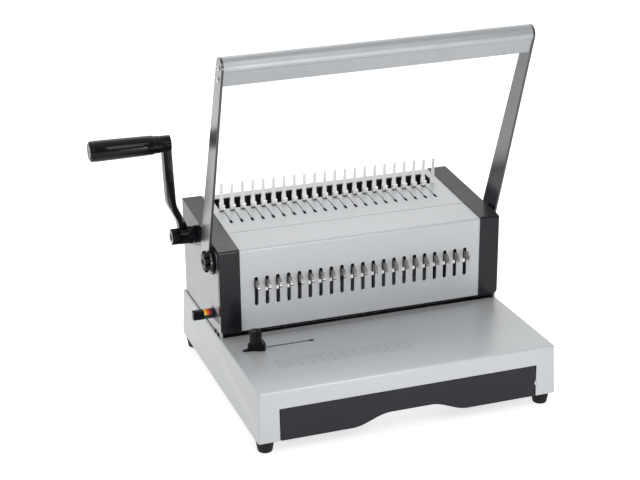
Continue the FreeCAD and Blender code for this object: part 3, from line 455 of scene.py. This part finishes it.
def soften(node, bevel, segments=2, angle=32.0):
    """A CAD node's own shape with its sharp edges rounded, standing for the node."""
    work = bmesh.new()
    work.from_mesh(frame["nodes"][node].data)
    same_place, flat_angle = 1e-6, math.radians(1.0)
    bmesh.ops.remove_doubles(work, verts=work.verts, dist=same_place)
    bmesh.ops.dissolve_limit(work, angle_limit=flat_angle, verts=work.verts, edges=work.edges)
    looks = {"smooth": angle, "bevel": bevel, "segments": segments, "material": material_of(node)}
    return piece(
        f"{node}_soft", work, Matrix.Identity(4), NODE_SLOT[node], NODE_BODY[node], node, **looks
    )


def hexagon(angle, radius):
    """Radius of a hexagon that a circle of this radius goes round."""
    sector = math.pi / 3
    return radius * math.cos(sector / 2) / math.cos(angle % sector - sector / 2)


# ---------------------------------------------------------------------------------------------------
# Base and table
# ---------------------------------------------------------------------------------------------------
PRINT_THICKNESS = 0.04


def feet():
    """Tapered rubber feet with a rim where they meet the base."""
    profile = [
        (0.0, 7.6), (0.5, 8.6), (1.4, 9.0), (14.6, 11.4),
        (15.0, 12.0), (16.6, 12.2), (17.2, 12.0), (17.45, 11.4),
    ]
    columns, rows = (-182, 182), (-148, 170)
    parts = []
    for x in columns:
        for y in rows:
            foot = turned(profile, 48)
            foot.transform(Matrix.Translation((x, y, 0)) @ Matrix.Rotation(-QUARTER_TURN, 4, "Y"))
            parts.append(foot)
    piece("feet", merged(parts), MACHINE, "foot_rubber", "frame", "rubber_feet", bevel=0.3)


def ruler():
    """Printed page ruler along the back of the table, without figures."""
    marks = []
    ticks, first_tick, spacing, half_tick = 117, -142.0, 2.5, 0.28
    line_left, line_right, front, rear = -142.2, 148.2, -5.5, -5.2
    long_tick, middle_tick, short_tick = 5.0, 3.4, 1.8
    top = TABLE + PRINT_THICKNESS
    for index in range(ticks):
        x = first_tick + index * spacing
        reach = long_tick if index % 10 == 0 else middle_tick if index % 5 == 0 else short_tick
        marks.append(block((x - half_tick, front - reach, TABLE), (x + half_tick, front, top)))
    marks.append(block((line_left, front, TABLE), (line_right, rear, top)))
    piece("page_ruler", merged(marks), MACHINE, "silver_paint", "frame", material=INK)


def chart():
    """Faint printed chart of blank cells on the table."""
    left, right, front, rear = -147.0, 24.0, -104.0, -84.0
    rows, columns = 3, 12
    line = 0.25
    top = TABLE + PRINT_THICKNESS
    marks = []
    for row in range(rows + 1):
        y = front + (rear - front) * row / rows
        marks.append(block((left, y - line, TABLE), (right, y + line, top)))
    for column in range(columns + 1):
        x = left + (right - left) * column / columns
        marks.append(block((x - line, front, TABLE), (x + line, rear, top)))
    piece("capacity_chart", merged(marks), MACHINE, "silver_paint", "frame", material=PALE_INK)


def seam_painted_shade():
    """Dark strip where the housing stands on the base, with two dark blocks on the left: painted shade of the
    shadow in that seam.
    """
    front, rear, strip, rear_half = 4, 171, 1.2, 188.0
    shade_blocks, shade_block_length, shade_block_height, shade_block_outer = (12, 24), 5, 3.4, 191.6
    outer = PLATE_OUTER + 0.5
    parts = [
        block((-outer, front, TABLE), (-PLATE_OUTER, rear, TABLE + strip)),
        block((PLATE_OUTER, front, TABLE), (outer, rear, TABLE + strip)),
        block((-rear_half, 171.5, TABLE), (rear_half, 172.7, TABLE + 1.0)),
    ]
    # Two dark blocks of painted shade in the seam on the left.
    for y in shade_blocks:
        low = (-shade_block_outer, y, TABLE - 0.2)
        parts.append(block(low, (-PLATE_OUTER, y + shade_block_length, TABLE + shade_block_height)))
    piece("housing_seam_painted_shade", merged(parts), MACHINE, "foot_rubber", "frame", bevel=0.15)


def throat_painted_shade():
    """Black strip on the table inside the paper slot, in front of the punches: painted shade where the front
    cover shades the table.
    """
    half, front, rear, thickness = 187.5, 4.0, 11.2, 0.12
    strip = block((-half, front, TABLE), (half, rear, TABLE + thickness))
    piece("throat_painted_shade", strip, MACHINE, "foot_rubber", "frame", material=matt_black)


# ---------------------------------------------------------------------------------------------------
# Housing
# ---------------------------------------------------------------------------------------------------
def rear_sheet():
    """Rear cover with four rows of vent slots and its six screws."""
    low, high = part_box("rear_cover")
    left, right = (low[0] - ORIGIN.x) / MM, (high[0] - ORIGIN.x) / MM
    front, rear = (low[1] - ORIGIN.y) / MM, (high[1] - ORIGIN.y) / MM
    top = high[2] / MM
    columns, slot_width, gap = 12, 20.0, 8.0
    start = -(columns * slot_width + (columns - 1) * gap) / 2
    rows = [(112.0, 116.0), (124.0, 128.0), (166.0, 170.0), (178.0, 182.0)]
    screw_columns, screw_rows = (-178, 0, 178), (92, 200)
    screw = [(0, 3.4), (0.5, 3.5), (1.3, 2.9), (1.6, 1.9), (0.7, 1.7), (0.7, 0.3)]
    parts = []
    below = TABLE
    for bottom, upper in rows:
        parts.append(block((left, front, below), (right, rear, bottom)))
        edge = left
        for column in range(columns):
            x = start + column * (slot_width + gap)
            parts.append(block((edge, front, bottom), (x, rear, upper)))
            edge = x + slot_width
        parts.append(block((edge, front, bottom), (right, rear, upper)))
        below = upper
    parts.append(block((left, front, below), (right, rear, top)))
    sheet = merged(parts)
    bmesh.ops.remove_doubles(sheet, verts=sheet.verts, dist=0.001)
    piece("rear_sheet", sheet, MACHINE, "silver_paint", "frame", "rear_cover", smooth=20.0)
    screws = []
    for x in screw_columns:
        for z in screw_rows:
            head = turned(screw, 36)
            head.transform(Matrix.Translation((x, rear, z)) @ Matrix.Rotation(QUARTER_TURN, 4, "Z"))
            screws.append(head)
    piece("rear_screws", merged(screws), MACHINE, "screw_steel", "frame")


def selector_hook(index):
    """Rounded hook of one selector, its blade going back into the punch bar."""
    beak = [
        (-0.4, 18.2), (-3.4, 18.4), (-6.8, 17.9), (-9.6, 16.2), (-11.6, 13.9),
        (-12.6, 11.2), (-12.4, 8.9), (-11.2, 8.5), (-9.6, 9.4), (-7.4, 10.3),
        (-4.8, 10.2), (-2.4, 9.0), (-0.4, 7.6), (1.2, 7.2), (1.2, 17.6),
    ]
    blade = [(1, 7.4), (21, 6.4), (21, 17.6), (1, 17.6)]
    beak_half, blade_half = 1.7, 1.4
    parts = [prism(flowing(beak), -beak_half, beak_half), prism(blade, -blade_half, blade_half)]
    node = f"selector_{index + 1:02d}"
    place = local(SLOT_X[index], 0, BAR_BOTTOM)
    piece(f"{node}_hook", merged(parts), place, "selector_plastic", node, node, bevel=0.7, segments=3)


def punch_tabs():
    """Bright tabs on the punch bar, seen in most of the slots under the hooks."""
    plain_slots = (0, 4, 8)
    half, front, rear, bottom, top = 1.9, 2.2, 5.6, 139.2, 146.6
    shown = [x for index, x in enumerate(SLOT_X) if index not in plain_slots]
    tabs = [block((x - half, front, bottom), (x + half, rear, top)) for x in shown]
    piece("punch_tabs", merged(tabs), MACHINE, "nickel_steel", "punch_bar", bevel=0.5)


def springs():
    """Return springs, which the punch bar presses together as it comes down; kept here in their CAD shape, on
    a mesh of their own.
    """
    coils = soften("return_springs", 0.0)
    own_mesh(coils)


def margin_details():
    """Ribs on the margin knob, and beside it a dark patch on the side plate: painted shadow and reflection of
    the knob.
    """
    y, z = MARGIN_AXIS
    rib_count, first_rib, spacing, width, half = 6, -216.4, 2.2, 1.1, 3.4
    rib_foot, rib_top = 5.3, 5.9
    ribs = []
    for step in range(rib_count):
        x = first_rib + step * spacing
        for side in (-1, 1):
            low, high = sorted((side * rib_foot, side * rib_top))
            ribs.append(block((x, y - half, z + low), (x + width, y + half, z + high)))
    piece("margin_knob_ribs", merged(ribs), MACHINE, "black_plastic", "margin_knob", bevel=0.25)
    # Painted shadow and reflection of the margin knob on the side plate: near black towards the rear, a
    # darkened silver at the front.
    made = Nodes("painted_knob_shadow", (0.02, 0.022, 0.02), 0.4, 0.1)
    front = (ORIGIN.y / MM + 4) * MM
    fade, shadow_outer = 0.028, PLATE_OUTER + 0.12
    place = made.remap(made.axis("Y"), 0.0, 1.0, front, front + fade)
    tint = made.blend(place, shade(SILVER, DARK_INK_AND_SHADOW_TONE), (0.006, 0.007, 0.007))
    knob_shadow_material = made.finish(tint, None, made.bump(made.noise(FINE_GRAIN), WAVE_DEPTH))
    outline = arc((y + 2, z), 8.5, 90, -90, 8) + arc((8, z), 6.0, 270, 90, 8)
    shadow_patch = prism(outline, -shadow_outer, -PLATE_OUTER)
    piece("painted_margin_knob_shadow", shadow_patch, MACHINE, "silver_paint", "frame", material=knob_shadow_material)


def crank_collar():
    """Knurled collar round the crank's bush and a smooth flange against the housing."""
    teeth, tooth_depth, smooth_radius = 28, 0.35, 10.4

    def knurl(angle, radius):
        return radius + (tooth_depth * math.cos(teeth * angle) if radius > smooth_radius else 0.0)

    profile = [(-200.4, 8.0), (-200.4, 10.0), (-199.8, 10.9), (-194.6, 10.9), (-194.0, 10.2), (-193.4, 10.2)]
    flange = [(-193.4, 11.0), (-193.0, 11.6), (-191.6, 11.6), (-191.2, 11.2), (-191.2, 8.0)]
    work = merged([turned(profile, 168, knurl), turned(flange, 64)])
    piece("crank_collar", work, local(0, *CRANK_AXIS), "black_plastic", "frame")


# ---------------------------------------------------------------------------------------------------
# Handle
# ---------------------------------------------------------------------------------------------------
HANDLE_LENGTH, BAR_RISE, ARM_AXIS, ARM_INNER = 293.0, 6.8, 17.05, 194.0
ARM_THICKNESS = 3


def grip_bar():
    """Extruded bar: round crown over two flat sides that are let in by a little."""
    half, inset, depth, corner = 11.0, 0.55, 32.4, 1.2
    foot = HANDLE_LENGTH - depth - BAR_RISE / 2
    crown = HANDLE_LENGTH - half - BAR_RISE / 2
    step_top, step_foot = crown - 1.6, crown - 2.3
    left, right = ARM_AXIS - half, ARM_AXIS + half
    outline = [(right, step_top)] + arc((ARM_AXIS, crown), half, 0, 180, 28) + [(left, step_top)]
    outline += [(left + inset, step_foot), (left + inset, foot + corner), (left + inset + corner, foot)]
    outline += [(right - inset - corner, foot), (right - inset, foot + corner), (right - inset, step_foot)]
    work = prism(outline, -ARM_INNER, ARM_INNER)
    for vert in work.verts:
        vert.co.z += (vert.co.x + ARM_INNER) / (2 * ARM_INNER) * BAR_RISE
    piece("grip_bar", work, HANDLE, "satin_aluminium", "handle", "handle_bar", smooth=25.0)


def dome_screw(x, side):
    """Dome head with a hexagon socket, its flat side at x, facing outwards on the given side."""
    profile = [(0.0, 3.4), (0.5, 3.5), (1.2, 3.1), (1.75, 2.3), (1.95, 1.6)]
    socket = [(1.95, 1.45), (0.9, 1.4), (0.9, 0.3)]
    socket_radius, corner_reach = 1.5, 1.12
    points = [(x + side * reach, radius) for reach, radius in profile + socket]

    def socketed(angle, radius):
        return hexagon(angle, radius * corner_reach) if radius < socket_radius else radius

    return turned(points, 36, socketed)


def handle_fasteners():
    """Two screws through each arm into the bar, and the cap on the right end of the shaft."""
    levels = (-28, -13)
    heads = []
    for side in (-1, 1):
        for level in levels:
            head = dome_screw(side * (ARM_INNER + ARM_THICKNESS), side)
            heads.append(moved(head, y=ARM_AXIS, z=HANDLE_LENGTH + level + side * BAR_RISE / 2))
    piece("handle_bolts", merged(heads), HANDLE, "screw_steel", "handle", "handle_screws")
    cap = turned([(197.0, 7.6), (197.6, 8.0), (198.3, 7.4), (198.8, 5.4), (198.9, 0.5)], 48)
    piece("pivot_cap", cap, local(0, *PIVOT), "black_plastic", "handle")


def star_knob():
    """Clamp knob with eight round lobes and a recessed centre."""
    round_below, sector = 8, math.pi / 4
    lobe_centre, lobe_radius, valley = 0.73, 0.27, 0.72

    def lobes(angle, radius):
        if radius < round_below:
            return radius
        off = angle % sector - sector / 2
        half_chord = math.sqrt(max(0.0, lobe_radius ** 2 - (lobe_centre * math.sin(off)) ** 2))
        return radius * max(valley, lobe_centre * math.cos(off) + half_chord)

    profile = [
        (-201.9, 0.5), (-201.9, 3.6), (-203.4, 4.4), (-203.7, 7.4), (-203.4, 10.8), (-202.6, 13.0),
        (-201.4, 13.7), (-198.6, 13.7), (-197.8, 12.8), (-197.4, 10.4), (-197.4, 4.0), (-175.0, 4.0),
    ]
    work = turned(profile, 160, lobes)
    piece("star_knob", work, local(0, *PIVOT), "black_plastic", "clamp_knob", "clamp_knob")


# ---------------------------------------------------------------------------------------------------
# Crank
# ---------------------------------------------------------------------------------------------------
def grip():
    """Long grip: recessed end cap, a fine ring near each end, a slight taper."""
    profile = [
        (-316.4, 0.4), (-316.4, 1.9), (-317.4, 2.2), (-317.6, 8.2), (-317.2, 8.6), (-317.2, 9.2),
        (-317.7, 9.6), (-317.9, 10.6), (-317.4, 11.9), (-316.4, 12.9), (-315.0, 13.4), (-313.6, 13.5),
        (-312.9, 13.1), (-312.3, 13.1), (-311.6, 13.5), (-280.0, 13.2), (-250.0, 12.75), (-237.0, 12.5),
        (-236.2, 12.2), (-235.6, 11.7), (-235.0, 11.6), (-229.0, 11.5), (-228.2, 11.2), (-227.6, 10.9),
        (-226.1, 10.8), (-226.1, 5.2),
    ]
    piece("grip_sleeve", turned(profile, 72), GRIP, "grip_plastic", "crank_grip", "crank_grip")


def hub_nut():
    """Knurled nut with a steel ring let into its face."""
    teeth, tooth_depth, smooth_radius = 44, 0.3, 9.8

    def knurl(angle, radius):
        return radius + (tooth_depth * math.cos(teeth * angle) if radius > smooth_radius else 0.0)

    profile = [
        (-221.0, 0.5), (-221.0, 3.9), (-222.2, 4.3), (-222.2, 8.6), (-222.4, 8.9), (-222.2, 9.5),
        (-221.4, 10.1), (-213.2, 10.1), (-212.5, 9.6), (-212.1, 9.0), (-212.1, 2.0),
    ]
    place = local(0, *CRANK_AXIS)
    piece("hub_nut", turned(profile, 264, knurl), place, "knob_plastic", "crank", "crank_hub_knob")
    section = [(-222.1, 6.2), (-222.5, 6.3), (-222.6, 6.6), (-222.6, 7.8), (-222.45, 8.1), (-222.1, 8.2)]
    ring = hoop(section, 72)
    piece("hub_ring", ring, place, "plated_steel", "crank")


# CAD nodes kept in their own shape: width of the rounding in millimetres, and its segments
SOFTENED = {
    "base_casing": (0.7, 2),
    "cheek_left": (1.1, 3),
    "cheek_right": (1.1, 3),
    "drawer_front": (0.35, 2),
    "handle_arm_left": (0.5, 2),
    "handle_arm_right": (0.5, 2),
    "handle_discs": (0.3, 2),
    "crank_arm": (1.5, 3),
    "tine_comb": (0.3, 2),
    "comb_hooks": (0.4, 2),
    "edge_guide_block": (0.5, 2),
    "edge_guide_knob": (0.35, 2),
    "margin_knob": (0.7, 2),
    "margin_collar": (0.4, 2),
}
for softened_node, (width, rounds) in SOFTENED.items():
    soften(softened_node, width, rounds)
feet()
ruler()
chart()
seam_painted_shade()
throat_painted_shade()
rear_sheet()
for hook_index in range(HOLES):
    selector_hook(hook_index)
punch_tabs()
springs()
margin_details()
crank_collar()
grip_bar()
handle_fasteners()
star_knob()
grip()
hub_nut()

# ---------------------------------------------------------------------------------------------------
# Stage, light and camera
# ---------------------------------------------------------------------------------------------------
# FLOOR_SIZE is in metres, the others in millimetres; the camera's angles are its azimuth, elevation and
# roll in degrees.
FLOOR_SIZE = 30.0
AIM_HEIGHT = 180
CAMERA_PLACE = (-633.7, -1629.7, 848.1)
CAMERA_ANGLES = (-19.46, 20.61, -0.59)
CAMERA_LENS = 82.7


def floor():
    """Pale floor that also gives off a little light, so that it comes out white."""
    paper, glow = 0.62, 0.62
    mesh = bpy.data.meshes.new("floor")
    half = FLOOR_SIZE / 2
    corners = [(-half, -half, 0), (half, -half, 0), (half, half, 0), (-half, half, 0)]
    mesh.from_pydata(corners, [], [(0, 1, 2, 3)])
    made = Nodes("floor_paper", (paper, paper, paper), 0.9)
    made.set("Emission Color", (1.0, 1.0, 1.0, 1.0))
    made.set("Emission Strength", glow)
    mesh.materials.append(made.finish(None, None, made.bump(made.noise(300.0), 0.0001)))
    item = bpy.data.objects.new("floor", mesh)
    bpy.context.scene.collection.objects.link(item)


def area_light(name, location, target, size, power):
    """Rectangular lamp at a place, aimed at the target; size in metres, power in watts."""
    data = bpy.data.lights.new(name, "AREA")
    data.shape = "RECTANGLE"
    data.size, data.size_y = size
    data.energy = power
    item = bpy.data.objects.new(name, data)
    item.location = location
    direction = Vector(target) - Vector(location)
    item.rotation_mode = "QUATERNION"
    item.rotation_quaternion = direction.to_track_quat("-Z", "Y")
    bpy.context.scene.collection.objects.link(item)


def world():
    """White studio, dimmer in front of the machine than behind it and at its sides."""
    front, rear, front_light, rear_light = -0.9, 0.1, 0.30, 1.15
    made = bpy.data.worlds.new("studio")
    made.use_nodes = True
    tree = made.node_tree
    coords = tree.nodes.new("ShaderNodeTexCoord")
    split = tree.nodes.new("ShaderNodeSeparateXYZ")
    ramp = tree.nodes.new("ShaderNodeMapRange")
    ends = {"From Min": front, "From Max": rear, "To Min": front_light, "To Max": rear_light}
    for key, amount in ends.items():
        ramp.inputs[key].default_value = amount
    background = tree.nodes["Background"]
    background.inputs["Color"].default_value = (1.0, 1.0, 1.0, 1.0)
    tree.links.new(coords.outputs["Generated"], split.inputs["Vector"])
    tree.links.new(split.outputs["Y"], ramp.inputs["Value"])
    tree.links.new(ramp.outputs["Result"], background.inputs["Strength"])
    bpy.context.scene.world = made


def camera():
    """Long lens, from the operator's left front and above, level but for a slight roll."""
    azimuth, elevation, roll = (math.radians(angle) for angle in CAMERA_ANGLES)
    flat = math.cos(elevation)
    forward = Vector((-math.sin(azimuth) * flat, math.cos(azimuth) * flat, -math.sin(elevation)))
    level = forward.cross(Vector((0, 0, 1))).normalized()
    upward = level.cross(forward)
    right = level * math.cos(roll) + upward * math.sin(roll)
    up = upward * math.cos(roll) - level * math.sin(roll)
    data = bpy.data.cameras.new("camera")
    data.sensor_width = 36.0
    data.lens = CAMERA_LENS
    data.clip_end = 100.0
    item = bpy.data.objects.new("camera", data)
    turn = Matrix((right, up, -forward)).transposed()
    item.matrix_world = Matrix.Translation(ORIGIN + Vector(CAMERA_PLACE) * MM) @ turn.to_4x4()
    bpy.context.scene.collection.objects.link(item)
    bpy.context.scene.camera = item


floor()
world()
aim = ORIGIN + Vector((0, 0, AIM_HEIGHT)) * MM
low_aim = aim + Vector((0, 0, -0.04))
area_light("key", aim + Vector((0.05, -1.5, 1.25)), aim, size=(1.0, 1.0), power=12.0)
area_light("low", aim + Vector((0.16, -1.05, 0.02)), low_aim, size=(0.26, 0.16), power=2.6)
area_light("back", aim + Vector((0.3, 1.8, 1.8)), aim, size=(1.8, 1.0), power=9.0)
camera()
bpy.context.scene.view_settings.view_transform = "Standard"
